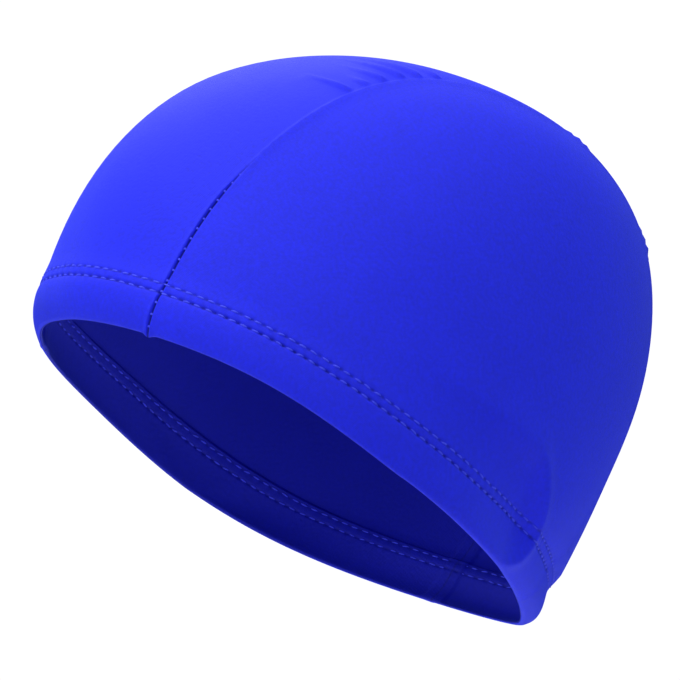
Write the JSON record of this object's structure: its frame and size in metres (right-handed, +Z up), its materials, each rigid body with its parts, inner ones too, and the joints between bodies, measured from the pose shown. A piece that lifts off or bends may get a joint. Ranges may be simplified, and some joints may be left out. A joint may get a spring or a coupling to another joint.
{
  "type": "swim cap",
  "caption": "Close-fitting stretch fabric swim cap, dome-shaped, with a centre strip between side panels and a turned-up stitched hem.",
  "frame": {"origin": "middle of the head opening, level with its rim", "axes": "+Z up as worn, -Y towards the forehead, +X towards the wearer's left; the opening is pitched 29.6 degrees, higher at the forehead"},
  "size_m": [0.1455, 0.2031, 0.1761],
  "materials": {
    "cloth": "royal blue stretch knit, soft sheen"
  },
  "bodies": {
    "root": {"centre_panel": "cloth", "left_side_panel": "cloth", "right_side_panel": "cloth"}
  },
  "joints": []
}
